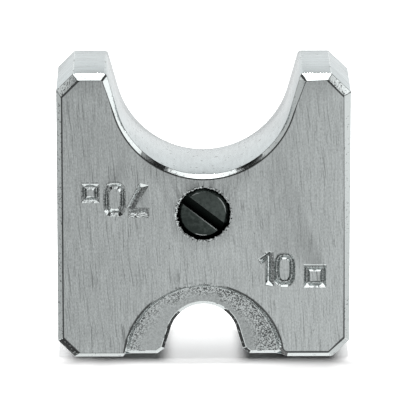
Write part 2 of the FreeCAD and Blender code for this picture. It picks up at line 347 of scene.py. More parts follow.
def corner_bevel(finish, point):
    """Bevel of a cut corner, full of dark pits, painted darker at the left and brighter at the
    right as light falls.
    """
    x = finish.along("X", point)
    pitted = finish.grain(point, 6.0, 3.0, 0.65)
    pits = pitted.ramp(0.55, 0.6)
    metal = finish.mixed(x.ramp(-1, 1), tone(0.86), tone(0.97))
    colour = finish.mixed(pits, metal, tone(0.14))
    return colour, (pitted - 0.5) * 0.3 + 0.3, finish.bumped(pitted, 0.02)


def side_bevel(finish, point):
    """Bevel along the right side: duller than the others, with a few specks."""
    chatter = finish.grain(point, 3.0, 3.0, 0.6)
    specks = finish.grain(point, 4.5, 2.0, 0.65).ramp(0.6, 0.68)
    colour = finish.mixed(specks, tone(0.62), tone(0.35))
    return colour, (chatter - 0.5) * 0.1 + 0.2, finish.bumped(chatter, 0.01)


def rough_bevel(finish, point):
    """Bevel filed by hand on the left side: greyer, partly as painted shade, darker towards the
    base, with dark specks.
    """
    z = finish.along("Z", point)
    speckle = finish.grain(point, 4.5, 3.0, 0.65)
    specks = speckle.ramp(0.56, 0.64)
    metal = finish.mixed(z.ramp(8, 24), tone(0.44), tone(0.53))
    colour = finish.mixed(specks, metal, tone(0.15))
    return colour, (speckle - 0.5) * 0.3 + 0.33, finish.bumped(speckle, 0.02)


def shaded_bevel(finish, point):
    """Bevel painted black as shade and dark reflection, lighter in places of wear."""
    wear_and_highlight = finish.grain(point, 4.0, 3.0, 0.6)
    colour = finish.mixed(wear_and_highlight.ramp(0.56, 0.64), tone(0.035), tone(0.3))
    return colour, (wear_and_highlight - 0.5) * 0.2 + 0.3, finish.bumped(wear_and_highlight, 0.02)


def nest_bore(finish, point):
    """Smooth bored nest: faint marks along it, slow ripples and a few pits."""
    x, y, z = finish.parts(point)
    marks = finish.grain(finish.joined(x * 4, y * 0.5, z * 4), 1.0, 2.0)
    ripple = finish.grain(point, 0.5, 2.0)
    pits = finish.grain(point, 3.2, 0.0).ramp(0.76, 0.8)
    blend = (marks * 0.5 + ripple * 0.5).ramp(0.3, 0.7)
    colour = finish.mixed(blend, cool_tone(0.55), cool_tone(0.66))
    colour = finish.mixed(pits, colour, tone(0.25))
    relief = marks + ripple * 3 - pits * 2
    return colour, (ripple - 0.5) * 0.1 + 0.2, finish.bumped(relief, 0.003)


def turned_recess(finish, point):
    """Recess floor: matt, with a band of torn speckle towards its wall."""
    x, y, z = finish.parts(point)
    height = z - RECESS_AXIS
    radius = x.hypot(height)
    torn = finish.grain(finish.joined(x, y * 0.2, z), 11.0, 1.0, 0.6)
    patch = finish.grain(point, 0.5, 1.0)
    band = (radius - height * 0.13 + x * 0.06 + (patch - 0.5) * 1.6).ramp(4.7, 6.9)
    speckle = (torn.ramp(0.34, 0.66) - 0.5) * (band * 0.48 + 0.03)
    fine = finish.grain(finish.joined(x * 5, y, z * 5), 1.0, 3.0, 0.6)
    level = speckle * 5 + (fine - 0.5) * 0.5 + 0.66 - x * 0.012
    # Its wall is painted lighter, a painted highlight.
    in_wall = radius.ramp(6.78, 6.86)
    light = finish.mixed(in_wall, tone(0.6), tone(0.95))
    colour = finish.mixed(level.ramp(0, 1.1), tone(0.09), light)
    rough = in_wall * 0.2 + 0.36 - speckle * 0.3
    return colour, rough, finish.bumped(speckle * 2 + fine * 0.3, 0.014)


def burnished_and_lit_groove(finish, point):
    """Side of a stamped groove, pressed bright by the punch and painted bright as lit, with a few
    dark flecks of scale.
    """
    scale = finish.grain(point, 4.5, 2.0, 0.65)
    colour = finish.mixed(scale.ramp(0.58, 0.64), tone(0.92), tone(0.15))
    return colour, (scale - 0.5) * 0.15 + 0.16, finish.bumped(scale, 0.01)


def scaled_and_shaded_groove(finish, point):
    """The other side, dark with scale and painted shade, the scale torn through in small bright
    chips.
    """
    x = finish.along("X", point)
    scale = finish.grain(point, 7.0, 2.0, 0.65)
    patches = scale.ramp(0.38, 0.6)
    # The scale is thickest in the 1, thinner in the 70 and thinnest in the 0 and square of the 10.
    thin = x.ramp(6.35, 6.5) + x.ramp(-4.0, -4.2) * 0.4
    thick_scale = finish.mixed(patches, tone(0.08), tone(0.25))
    thin_scale = finish.mixed(patches, tone(0.18), tone(0.5))
    colour = finish.mixed(thin, thick_scale, thin_scale)
    colour = finish.mixed(scale.ramp(0.66, 0.69), colour, tone(0.7))
    return colour, (scale - 0.5) * 0.15 + 0.16, finish.bumped(scale, 0.006)


def burred_and_shaded_edge(finish, point):
    """Edge of the ground face: a thin dark line of burrs and painted edge shade, with a few painted
    glints.
    """
    x, _, z = finish.parts(point)
    dashes = finish.grain(point, 1.8, 2.0, 0.6)
    # A painted highlight on the top of the recess's rim.
    from_rim_top = x.hypot(z - RECESS_AXIS - RECESS_RADIUS)
    wear_and_highlight = from_rim_top.ramp(2.4, 1.2) * 0.2
    colour = finish.mixed((dashes + wear_and_highlight).ramp(0.66, 0.72), tone(0.03), tone(0.8))
    return colour, (dashes - 0.5) * 0.2 + 0.25, finish.bumped(dashes, 0.02)


def highlit_edge(finish, point):
    """Edge painted bright as a highlight, dark in short gaps."""
    dashes = finish.grain(point, 1.3, 2.0, 0.6)
    colour = finish.mixed(dashes.ramp(0.36, 0.44), tone(0.12), tone(0.88))
    return colour, (dashes - 0.5) * 0.2 + 0.25, finish.bumped(dashes, 0.02)


def torn_mouth(finish, point):
    """Torn metal round the tapped hole: grey, with dark cracks and a few bright flecks."""
    x, _, z = finish.parts(point)
    flecks = finish.grain(point, 6.0, 2.0, 0.7)
    cracked = finish.mixed(flecks.ramp(0.4, 0.48), tone(0.05), tone(0.42))
    # Its upper left is painted brighter, a painted highlight.
    upper_left_highlight = (z * 0.5 - x - BORE_AXIS * 0.5).ramp(0.5, 2.0) * 0.08
    colour = finish.mixed((flecks + upper_left_highlight).ramp(0.6, 0.66), cracked, tone(0.95))
    return colour, (flecks - 0.5) * 0.3 + 0.3, finish.bumped(flecks, 0.03)


def black_oxide(finish, point):
    """Black oxide on turned steel, with wear and painted highlights on its rim and slot edge,
    lighter towards the upper right as painted light, and blacker in the slot as painted shade.
    """
    x, y, z = finish.parts(point)
    mottle = finish.grain(point, 2.5, 4.0, 0.6)
    turning = finish.grain(point, 9.0, 3.0)
    height = z - BORE_AXIS
    radius = x.hypot(height)
    along = x * math.cos(SLOT_TURN) - height * math.sin(SLOT_TURN)
    across = x * math.sin(SLOT_TURN) + height * math.cos(SLOT_TURN)
    grey_black = (0.03, 0.038, 0.035, 1)
    # The lighter black: mottles of wear, and painted light towards the upper right.
    worn_and_lit_black = (0.08, 0.096, 0.09, 1)
    skin = finish.mixed((mottle + across * 0.1).ramp(0.25, 0.75), grey_black, worn_and_lit_black)
    # Painted shade: blacker deeper in the slot.
    deep = y - SCREW_FACE
    colour = finish.mixed(deep.ramp(0.05, 0.3), skin, (0.008, 0.011, 0.01, 1))
    rim_inside = radius.ramp(FACE_RADIUS - 0.11, FACE_RADIUS - 0.07)
    rim = rim_inside * radius.ramp(FACE_RADIUS - 0.01, FACE_RADIUS - 0.05)
    slot_edge = across.absolute().ramp(SLOT_WIDTH / 2 + 0.09, SLOT_WIDTH / 2 + 0.04)
    lower_edge = across.ramp(-0.3, -0.5) * along.ramp(-1.8, 1.6) * 0.7 + 0.12
    patches = finish.grain(point, 0.8, 1.0).ramp(0.46, 0.56) * x.ramp(-1.4, -0.7)
    # Painted highlights on the rim away from its left and along the slot's lower edge, partly wear.
    wear_and_glint = (rim * patches * 0.8).or_more(slot_edge * lower_edge) * deep.ramp(0.1, 0.05)
    colour = finish.mixed(wear_and_glint, colour, tone(0.6))
    return colour, (turning - 0.5) * 0.25 + 0.38, finish.bumped(turning, 0.006)


def drawn_wire(finish, point):
    """Drawn spring wire, lightly oiled."""
    marks = finish.grain(point, 7.0, 3.0)
    colour = finish.mixed(marks.ramp(0.3, 0.7), tone(0.36), tone(0.5))
    return colour, (marks - 0.5) * 0.2 + 0.3, finish.bumped(marks, 0.002)


def polished_ball(finish, point):
    """Polished ball with the faint rub of the jaw on it."""
    x, y, z = finish.parts(point)
    rub = finish.grain(finish.joined(x * 2, y * 2, z * 9), 1.0, 3.0)
    colour = finish.mixed(rub.ramp(0.3, 0.7), tone(0.7), tone(0.8))
    return colour, rub.ramp(0.4, 0.8, 0.06, 0.18), finish.bumped(rub, 0.001)


# Meshes made with operators


def in_scene(name, data):
    """An object for this mesh, lamp or camera, linked to the scene."""
    made = bpy.data.objects.new(name, data)
    bpy.context.scene.collection.objects.link(made)
    return made


def as_object(name, bm):
    """The shape as an object, still in millimetres; dressed() brings it to metres."""
    bmesh.ops.recalc_face_normals(bm, faces=bm.faces)
    mesh = bpy.data.meshes.new(name)
    bm.to_mesh(mesh)
    bm.free()
    return in_scene(name, mesh)


def turned(axis, degrees, size=4):
    """Rotation about an axis, as a matrix of this size."""
    return Matrix.Rotation(math.radians(degrees), size, axis)


def shaped(work, tools, operation):
    """Join each tool to the work, or cut it out, one after another; the tools are used up."""
    for tool in tools:
        step = work.modifiers.new("step", "BOOLEAN")
        step.operation = operation
        step.solver = "EXACT"
        step.object = tool
    result = work.evaluated_get(bpy.context.evaluated_depsgraph_get())
    mesh = bpy.data.meshes.new_from_object(result)
    work.modifiers.clear()
    work.data = mesh
    for tool in tools:
        bpy.data.objects.remove(tool)
    return work


def extruded(bm, face):
    """Extrude one face on the spot and give the new face, for a transform to place."""
    made = bmesh.ops.extrude_face_region(bm, geom=[face])["geom"]
    bmesh.ops.delete(bm, geom=[face], context="FACES_ONLY")
    return next(item for item in made if isinstance(item, bmesh.types.BMFace))


def stepped_solid(levels, corner=None):
    """Closed solid through rectangles, each given as (half width, half height, depth, shift).

    It lies flat: width along X, height and shift along Y, depth along -Z. Its corners are
    rounded off where corner says how far along X and along Y.
    """
    bm = bmesh.new()
    width, height, depth, shift = levels[0]
    bmesh.ops.create_grid(bm, x_segments=1, y_segments=1, size=1.0)
    bmesh.ops.scale(bm, vec=(width, height, 1), verts=bm.verts)
    if corner:
        bmesh.ops.scale(bm, vec=(1 / corner[0], 1 / corner[1], 1), verts=bm.verts)
        bmesh.ops.bevel(
            bm, geom=bm.verts[:], affect="VERTICES", offset=1.0, offset_type="OFFSET", segments=3,
            profile=0.5, material=-1,
        )
        bmesh.ops.scale(bm, vec=(corner[0], corner[1], 1), verts=bm.verts)
    bmesh.ops.translate(bm, vec=(0, shift, -depth), verts=bm.verts)
    face = bm.faces[:][0]
    bmesh.ops.duplicate(bm, geom=[face])
    for wide, high, deep, moved in levels[1:]:
        face = extruded(bm, face)
        bmesh.ops.translate(bm, vec=(0, -shift, 0), verts=face.verts)
        bmesh.ops.scale(bm, vec=(wide / width, high / height, 1), verts=face.verts)
        bmesh.ops.translate(bm, vec=(0, moved, depth - deep), verts=face.verts)
        width, height, depth, shift = wide, high, deep, moved
    bmesh.ops.remove_doubles(bm, verts=bm.verts, dist=1e-6)
    return bm


def cut_ends(bm, ends):
    """Cut a shape off past each (height, way) and close it there."""
    for height, way in ends:
        bmesh.ops.bisect_plane(
            bm, geom=bm.verts[:] + bm.edges[:] + bm.faces[:], plane_co=(0, 0, height),
            plane_no=(0, 0, way), clear_outer=True,
        )
    bmesh.ops.holes_fill(bm, edges=[e for e in bm.edges if e.is_boundary], sides=0)
    return bm


def on_face(bm, centre, turn=0.0, tilt=0.0, yaw=0.0):
    """Stand a flat shape on the front face; tilt and yaw sink its lower and its right edge."""
    x, z = centre
    stand = Matrix.Translation((x, FRONT, z)) @ turned("Z", yaw)
    stand = stand @ turned("X", 90 + tilt) @ turned("Z", turn)
    bmesh.ops.transform(bm, matrix=stand, verts=bm.verts)
    bmesh.ops.recalc_face_normals(bm, faces=bm.faces)
    return bm


# Camera, as the photograph has it

ELEVATION = math.radians(15.36)
TURN = math.radians(-0.457)
DISTANCE = 450.0
PIXELS_PER_MM = 10.993
IMAGE_WIDTH = 408
SENSOR = 36.0
# The middle of the front face lies this far left of and below the middle of the image.
PIXELS_LEFT = 0.3
PIXELS_BELOW = 13.32


def camera_at_the_front():
    """A long lens from in front and a little above."""
    level = math.cos(ELEVATION)
    looking = Vector((-math.sin(TURN) * level, math.cos(TURN) * level, -math.sin(ELEVATION)))
    rightwards = looking.cross(Vector((0, 0, 1))).normalized()
    upwards = rightwards.cross(looking)
    face_middle = mm(0, FRONT, HEIGHT / 2)
    shift = (rightwards * PIXELS_LEFT + upwards * PIXELS_BELOW) / PIXELS_PER_MM * MM
    camera = in_scene("camera", bpy.data.cameras.new("camera"))
    camera.location = face_middle - looking * DISTANCE * MM
    towards = face_middle + shift - camera.location
    camera.rotation_euler = towards.to_track_quat("-Z", "Y").to_euler()
    camera.data.sensor_width = SENSOR
    camera.data.lens = SENSOR * PIXELS_PER_MM * DISTANCE / IMAGE_WIDTH
    camera.data.clip_start = 0.01
    camera.data.clip_end = 50
    bpy.context.scene.camera = camera


camera_at_the_front()


# Die block

BLOCK_FINISHES = (
    ground_face,
    milled_side,
    bevel_cut,
    corner_bevel,
    side_bevel,
    rough_bevel,
    shaded_bevel,
    nest_bore,
    turned_recess,
    burnished_and_lit_groove,
    scaled_and_shaded_groove,
    burred_and_shaded_edge,
    highlit_edge,
    torn_mouth,
)
FLAT_FINISHES = (ground_face, milled_side, burnished_and_lit_groove, scaled_and_shaded_groove)

block_materials = [steel(finish) for finish in BLOCK_FINISHES]

# Limits that tell the block's surfaces apart. A face's facing is 1 where it looks straight to the
# front or back and 0 where it lies along the bore.
FLAT_FACING = 0.99
BEVEL_FACING = 0.4
WALL_FACING = 0.6
WALL_WIDTH = 0.5
SIDE = 11.7
SIDE_BEVEL = 11.6
TOP_BEVEL = 0.6
LOW_CORNER = 2.0
SMALL_NEST_REACH = 5.0
SMALL_NEST_TOP = {"left": 3.95, "right": 4.3}
# The recess's wall at its right end
RUN_OUT_ASIDE = 7.0
RUN_OUT_TOP = 0.99
RUN_OUT_REACH = 8.0


def surface_finish(centre, normal):
    """Which of the block's finishes a face has, from its middle and direction."""
    facing = abs(normal.y)
    depth = abs(centre.y)
    reach = math.hypot(centre.x, centre.z - RECESS_AXIS)
    if facing > FLAT_FACING and depth > BACK - NEAR:
        return ground_face
    if in_right_run_out(centre, normal, reach):
        return shaded_bevel
    if reach < RECESS_RADIUS + 0.05 and depth > BACK - RECESS_DEPTH - NEAR:
        in_wall = reach > RECESS_RADIUS - WALL_WIDTH and facing < WALL_FACING
        if facing > FLAT_FACING or in_wall:
            return turned_recess
    if facing > BEVEL_FACING:
        return bevel_finish(centre, normal)
    outside = abs(centre.x) > SIDE or centre.z > HEIGHT - NEAR or centre.z < NEAR
    return milled_side if outside else nest_bore


def in_right_run_out(centre, normal, reach):
    """Whether a face is the foot of the recess's wall at the right, filed out to the base and
    painted black as dark reflection.
    """
    at_foot = centre.x > RUN_OUT_ASIDE and centre.z < RUN_OUT_TOP and reach < RUN_OUT_REACH
    return at_foot and normal.x < -0.25


def bevel_finish(centre, normal):
    """Bevels by their place, painted for how light falls on them: bright above and below, darker at
    the sides, black in the small nest.
    """
    left = centre.x < 0
    small_nest_top = SMALL_NEST_TOP["left" if left else "right"]
    if math.hypot(centre.x, centre.z) < SMALL_NEST_REACH and centre.z < small_nest_top:
        return bevel_cut if left and centre.z < 0.5 else shaded_bevel
    at_side = abs(centre.x) > SIDE_BEVEL
    if centre.z > HEIGHT - TOP_BEVEL or not at_side:
        return bevel_cut
    if abs(normal.z) > 0.2 and centre.z > LOW_CORNER:
        return corner_bevel
    if abs(normal.z) > 0.2 and left:
        return shaded_bevel
    return rough_bevel if left else side_bevel


def merged_copy(node):
    """A CAD node's mesh in millimetres, its loose triangles merged and its flat areas whole."""
    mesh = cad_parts[node].data.copy()
    if "custom_normal" in mesh.attributes:
        mesh.attributes.remove(mesh.attributes["custom_normal"])
    bm = bmesh.new()
    bm.from_mesh(mesh)
    bpy.data.meshes.remove(mesh)
    bmesh.ops.scale(bm, vec=(1 / MM, 1 / MM, 1 / MM), verts=bm.verts)
    bmesh.ops.remove_doubles(bm, verts=bm.verts, dist=0.001)
    bmesh.ops.dissolve_limit(
        bm, angle_limit=math.radians(0.3), verts=bm.verts, edges=bm.edges, delimit={"NORMAL"}
    )
    return bm


# Corners that are filed a little unevenly: the place of each and how far it moves along X and Z.
# One without a Y moves in front and behind alike.
FILED = [
    ((-8.99, FRONT, 26.17), (-0.2, 0)),
    ((8.99, FRONT, 26.17), (0.26, -0.08)),
    ((-12.89, FRONT, 24.96), (0, -0.33)),
    ((-11.68, FRONT, 26.17), (0.28, 0)),
    ((12.89, FRONT, 24.96), (-0.2, -0.27)),
    ((11.68, FRONT, 26.17), (-0.44, 0)),
    ((-12.89, FRONT, 1.74), (0, 0.15)),
    ((-11.61, FRONT, 0.46), (0.19, 0)),
    ((12.89, FRONT, 1.74), (0, 0.1)),
    ((11.61, FRONT, 0.46), (-0.2, 0)),
    ((11.8, None, 26.7), (-0.27, 0)),
    ((11.87, None, 26.63), (-0.27, 0)),
    ((13.35, None, 25.15), (0, -0.2)),
]


def file_corners(bm):
    """Move the corners that were filed unevenly."""
    for (x, y, z), (aside, up) in FILED:
        for vert in bm.verts:
            near = math.hypot(vert.co.x - x, vert.co.z - z) < AT_CORNER
            if near and (y is None or abs(vert.co.y - y) < AT_CORNER):
                vert.co += Vector((aside, 0, up))


# The recess's wall ends at the base this far aside, over a bevel that is BASE_BEVEL high and deep.
WALL_END = (6.6, 7.4)
BASE_BEVEL = 0.46
WALL_DEPTH = 0.64
# How far its left and right end are filed out: at the base, at the face and at the recess's floor
RUN_OUT = {-1: (0.3, 0.05, 0.4), 1: (0.6, 0.43, 0.37)}


def open_recess_ends(bm):
    """File the recess's wall out where it ends at the base, in front."""
    for vert in bm.verts:
        x, y, z = vert.co
        at_end = WALL_END[0] < abs(x) < WALL_END[1] and z < BASE_BEVEL + NEAR
        if at_end and FRONT - NEAR < y < FRONT + RECESS_DEPTH + 0.3:
            side = math.copysign(1, x)
            at_base, at_face, at_floor = RUN_OUT[side]
            low = at_base + (at_face - at_base) * z / BASE_BEVEL
            inward = min(max((y - FRONT - BASE_BEVEL) / WALL_DEPTH, 0), 1)
            vert.co.x += side * (low + (at_floor - low) * inward)


RIM_WANDER = 0.09


def tear_rim(bm):
    """Let the recess's rim run a little unevenly."""
    for vert in bm.verts:
        out = Vector((vert.co.x, 0, vert.co.z - RECESS_AXIS))
        on_rim = abs(out.length - RECESS_RADIUS) < AT_CORNER and vert.co.z > 1
        if on_rim and abs(vert.co.y) > BACK - NEAR:
            vert.co += out.normalized() * noise.noise(vert.co * 1.7) * RIM_WANDER


EDGE_BREAK = 0.09
SHARP_EDGE = math.radians(22)


def is_burred_and_shaded(centre):
    """Broken edges round the faces, in the large nest and at the top corners get burrs and painted
    edge shade.
    """
    aside, deep = abs(centre.x), abs(centre.y)
    beside_face = deep > BACK - EDGE_BREAK - NEAR
    in_nest = centre.z > 17.2 and aside < 9.2
    at_corner = centre.z > 24.5 and aside > 11.3 and deep > 4.4
    return beside_face or in_nest or at_corner


def machined_block():
    """The block with its surfaces told apart and every machined edge broken a little."""
    bm = merged_copy("die_body")
    file_corners(bm)
    open_recess_ends(bm)
    tear_rim(bm)
    for face in bm.faces:
        finish = surface_finish(face.calc_center_median(), face.normal)
        face.material_index = BLOCK_FINISHES.index(finish)
    sharp = [e for e in bm.edges if e.is_manifold and e.calc_face_angle() > SHARP_EDGE]
    bright, burred_and_shaded = BLOCK_FINISHES.index(highlit_edge), BLOCK_FINISHES.index(burred_and_shaded_edge)
    bmesh.ops.bevel(
        bm, geom=sharp, affect="EDGES", offset=EDGE_BREAK, offset_type="OFFSET", segments=2,
        profile=0.5, clamp_overlap=True, material=bright,
    )
    for face in bm.faces:
        if face.material_index == bright and is_burred_and_shaded(face.calc_center_median()):
            face.material_index = burred_and_shaded
    bmesh.ops.triangulate(bm, faces=bm.faces)
    return as_object("die_block", bm)


# A stamped stroke: half its width at the face, half the width of its flat root, and how far the
# ends of a straight one slope in
STROKE = 0.25
ROOT = 0.04
END_SLOPE = 0.3
# Its depths, and how much farther the flatter of a loop's upper and lower walls reaches
DEEP = 0.3
SHALLOW = 0.18
SHALLOW_BAR = 0.213
REACH = {DEEP: 0.09, SHALLOW: 0.13}
# The lip that the punch pushes up beside it, which starts inside the block
LIP_WIDTH = 0.08
LIP_RISE = 0.02
LIP_FOOT = 0.003
LIP_ROOT = 0.1
# How far above the face the punch goes on widening, and then goes straight
ABOVE = 0.12
HEADROOM = 0.1
# How it leans, in degrees: deeper at its lower edge, and for a stem, the more the deeper it is, at
# its right edge
TILT = 1.8
YAW = 15.0


def flank(height, depth):
    """Half the width of a groove of this depth, at this height above the face."""
    return STROKE + (STROKE - ROOT) * height / depth


def ring_punch(size, depth, corner):
    """Cutter for a closed loop, flatter at its lower outer wall, or if shallow at the upper."""
    half = flank(ABOVE, depth)
    reach = REACH[depth]
    wide = size[0] / 2 - STROKE
    tall = (size[1] - reach) / 2 - STROKE
    slip = (-1 if depth == DEEP else 1) * reach / 2
    return stepped_solid(
        [
            (wide + half, tall + half + reach / 2, -ABOVE - HEADROOM, 0),
            (wide + half, tall + half + reach / 2, -ABOVE, 0),
            (wide + ROOT, tall + ROOT, depth, -slip),
            (wide - ROOT, tall - ROOT, depth, -slip),
            (wide - half, tall - half - reach / 2, -ABOVE, 0),
        ],
        corner,
    )


def stroke_punch(size, depth):
    """Cutter for one straight stroke, of this length and width at the face."""
    wide, half = size[0] / 2, size[1] / 2
    lean = (half - ROOT) * ABOVE / depth
    return stepped_solid(
        [
            (wide + lean, half + lean, -ABOVE - HEADROOM, 0),
            (wide + lean, half + lean, -ABOVE, 0),
            (wide - END_SLOPE, ROOT, depth, 0),
        ]
    )


def lip(size, corner):
    """Low mound that the punch pushes up round a mark of this outer size."""
    wide, tall = size[0] / 2, size[1] / 2
    return stepped_solid(
        [
            (wide + LIP_WIDTH, tall + LIP_WIDTH, LIP_ROOT, 0),
            (wide + LIP_WIDTH, tall + LIP_WIDTH, LIP_FOOT, 0),
            (wide, tall, -LIP_RISE, 0),
        ],
        corner,
    )


# Each mark is (kind, centre, size, turn, depth, the ways that its walls painted bright as lit
# face); sizes are those of its outer edge on the face. A nought's corners are cut off by this much.
NOUGHT_CORNER = (0.72, 1.05)
MARKS = [
    ("stem", (5.98, 8.48), (3.06, 0.64), 90, DEEP, (0, 90, 270)),
    ("stroke", (5.66, 9.54), (1.3, 0.46), 36, DEEP, (36, 126)),
    ("nought", (7.37, 8.36), (1.9, 3.14), 0, DEEP, (90, 45)),
    ("square", (10.16, 7.75), (1.96, 2.1), 0, DEEP, (90,)),
    ("square", (-10.3, 15.66), (1.6, 1.84), 0, SHALLOW, (270,)),
    ("nought", (-8.1, 15.08), (1.96, 3.16), 0, SHALLOW, (270, 45)),
    ("stroke", (-5.93, 13.79), (1.85, 0.84), 0, SHALLOW_BAR, (90,)),
    ("stem", (-6.13, 15.26), (2.6, 0.62), 62, SHALLOW, (332, 242)),
]


# Torn mouth of the tapped hole: each loop's radius, depth below the face and wander
MOUTH_LOOPS = [
    (2.72, 0.5, 0.0), (2.72, 0.03, 0.0), (2.64, -0.004, 0.05), (2.55, -0.022, 0.07),
    (2.47, -0.012, 0.1), (2.42, 0.05, 0.1), (2.44, 0.2, 0.05), (2.47, 0.5, 0.0),
]
MOUTH_STEPS = 180


def ragged_mouth():
    """Torn, slightly raised mouth of the tapped hole, as a ring let into the block."""
    bm = bmesh.new()
    rows = [bmesh.ops.create_circle(bm, segments=MOUTH_STEPS, radius=1.0)["verts"]]
    ring = bm.edges[:]
    for _ in MOUTH_LOOPS[1:]:
        made = bmesh.ops.extrude_edge_only(bm, edges=ring)["geom"]
        rows.append([v for v in made if isinstance(v, bmesh.types.BMVert)])
        ring = [e for e in made if isinstance(e, bmesh.types.BMEdge)]
    for row, (radius, depth, wander) in zip(rows, MOUTH_LOOPS):
        for vert in row:
            way = Vector((vert.co.x, vert.co.y, 0)).normalized()
            torn = noise.fractal(way * 8 + Vector((0, 0, radius * 3)), 0.6, 2.0, 4) * wander
            lifted = noise.noise(way * 6 + Vector((4, 0, 0))) * wander * 0.4
            vert.co = way * (radius + torn) + Vector((0, 0, -depth + lifted))
    bmesh.ops.bridge_loops(bm, edges=[e for e in bm.edges if e.is_boundary])
    return bm


def with_finishes(piece):
    """Give a piece all of the block's finishes, in their order."""
    for material in block_materials:
        piece.data.materials.append(material)
    return piece


def tool(bm, finish_of):
    """A shape to join to the block or cut out of it; finish_of(normal) gives a face's finish."""
    for face in bm.faces:
        face.material_index = BLOCK_FINISHES.index(finish_of(face.normal))
    return with_finishes(as_object("tool", bm))


def lip_finish(kind, depth):
    """Lips are painted dark as shade, but for those over the deep square and 1, which are painted
    bright as catching the light.
    """

    def finish_of(normal):
        if normal.y < -0.999:
            return ground_face
        catches = depth == DEEP and kind != "nought" and normal.z > 0.1
        return burnished_and_lit_groove if catches else scaled_and_shaded_groove

    return finish_of


def wall_finish(ways):
    """Walls that face one of these ways, in degrees from the right, were pressed bright and are
    painted bright as lit; the others are painted dark as shaded.
    """

    def finish_of(normal):
        facing = math.degrees(math.atan2(-normal.z, -normal.x))
        slanted = math.hypot(normal.x, normal.z) > 0.2
        for way in ways:
            apart = (facing - way + 180) % 360 - 180
            if abs(apart) < 30 and slanted:
                return burnished_and_lit_groove
        return scaled_and_shaded_groove

    return finish_of


def die_block():
    """The machined block with its torn mouth and its stamped sizes."""
    block = with_finishes(machined_block())
    raised = [tool(on_face(ragged_mouth(), (0, BORE_AXIS)), lambda normal: torn_mouth)]
    cut = []
    for kind, centre, size, turn, depth, lit_ways in MARKS:
        corner = NOUGHT_CORNER if kind == "nought" else None
        raised.append(tool(on_face(lip(size, corner), centre, turn), lip_finish(kind, depth)))
        straight = kind in ("stroke", "stem")
        punch = stroke_punch(size, depth) if straight else ring_punch(size, depth, corner)
        yaw = YAW * depth / DEEP if kind == "stem" else 0.0
        cut.append(tool(on_face(punch, centre, turn, TILT, yaw), wall_finish(lit_ways)))
    shaped(block, raised, "UNION")
    return shaped(block, cut, "DIFFERENCE")


# Points nearer to each other than this are one point.
HAIR = 0.0005


def clean(mesh):
    """Merge the points that cutting left double and take out the faces that have no area."""
    bm = bmesh.new()
    bm.from_mesh(mesh)
    bmesh.ops.remove_doubles(bm, verts=bm.verts, dist=HAIR)
    bmesh.ops.dissolve_degenerate(bm, edges=bm.edges, dist=HAIR)
    bmesh.ops.triangulate(bm, faces=bm.faces)
    bmesh.ops.dissolve_degenerate(bm, edges=bm.edges, dist=HAIR)
    bmesh.ops.recalc_face_normals(bm, faces=bm.faces)
    bm.to_mesh(mesh)
    bm.free()


def dressed(piece, finishes, body, node, sharp=28):
    """Give a piece its finishes, its smooth shading and its place in the frame.

    Edges that turn by more degrees than sharp stay sharp.
    """
    clean(piece.data)
    if not piece.data.materials:
        piece.data.materials.append(steel(finishes[0]))
    piece.data.shade_smooth()
    for face in piece.data.polygons:
        face.use_smooth = finishes[face.material_index] not in FLAT_FINISHES
    piece.data.set_sharp_from_angle(angle=math.radians(sharp))
    piece.data.transform(Matrix.Scale(MM, 4))
    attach(piece, body)
    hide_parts(node)
    return piece


dressed(die_block(), BLOCK_FINISHES, "die", "die_body")


# Set screw


def along_bore(bm, y, turn=0.0):
    """Put a shape that stands on its own Z axis into the bore, its top to the front."""
    place = Matrix.Translation((0, y, BORE_AXIS)) @ turned("X", 90) @ turned("Z", turn)
    bmesh.ops.transform(bm, matrix=place, verts=bm.verts)
    return bm


def chain(bm, points):
    """Vertices joined in a row, from (radius, height) pairs."""
    verts = [bm.verts.new((radius, 0, height)) for radius, height in points]
    edges = [bm.edges.new(pair) for pair in zip(verts, verts[1:])]
    return verts + edges


def screw_blank():
    """Chamfered cylinder with a slightly domed, rounded end face."""
    bm = bmesh.new()
    chamfer = SCREW_RADIUS - FACE_RADIUS
    point = SCREW_RADIUS - POINT_RADIUS
    profile = chain(
        bm,
        [
            (0, 0),
            (FACE_RADIUS - 0.06, 0),
            (FACE_RADIUS - 0.015, -0.015),
            (FACE_RADIUS + 0.03, -0.055),
            (SCREW_RADIUS, -chamfer - 0.02),
            (SCREW_RADIUS, -SCREW_LENGTH + point),
            (POINT_RADIUS, -SCREW_LENGTH),
            (0, -SCREW_LENGTH),
        ],
    )
    bmesh.ops.spin(
        bm, geom=profile, cent=(0, 0, 0), axis=(0, 0, 1), angle=FULL_TURN, steps=96, use_merge=True
    )
    bmesh.ops.remove_doubles(bm, verts=bm.verts, dist=1e-5)
    return bm


THREAD_ROOT = SCREW_RADIUS - 0.49
THREAD_CREST = SCREW_RADIUS + 0.04
THREAD_TURNS = 9
THREAD_STEPS = 48
THREAD_SPARE = 0.3


def thread_body():
    """Screw thread wound a little longer than the screw, its ends closed."""
    bm = bmesh.new()
    profile = chain(
        bm,
        [
            (THREAD_ROOT, 0),
            (THREAD_ROOT, 0.1),
            (THREAD_CREST, PITCH * 0.46),
            (THREAD_CREST, PITCH * 0.54),
            (THREAD_ROOT, PITCH),
        ],
    )
    bmesh.ops.spin(
        bm, geom=profile, cent=(0, 0, 0), axis=(0, 0, 1), dvec=(0, 0, PITCH / THREAD_STEPS),
        angle=FULL_TURN * THREAD_TURNS, steps=THREAD_STEPS * THREAD_TURNS, use_merge=False,
    )
    bmesh.ops.remove_doubles(bm, verts=bm.verts, dist=1e-4)
    bmesh.ops.translate(bm, vec=(0, 0, -PITCH * (THREAD_TURNS - 1)), verts=bm.verts)
    return cut_ends(bm, ((THREAD_SPARE, 1), (-SCREW_LENGTH - THREAD_SPARE, -1)))


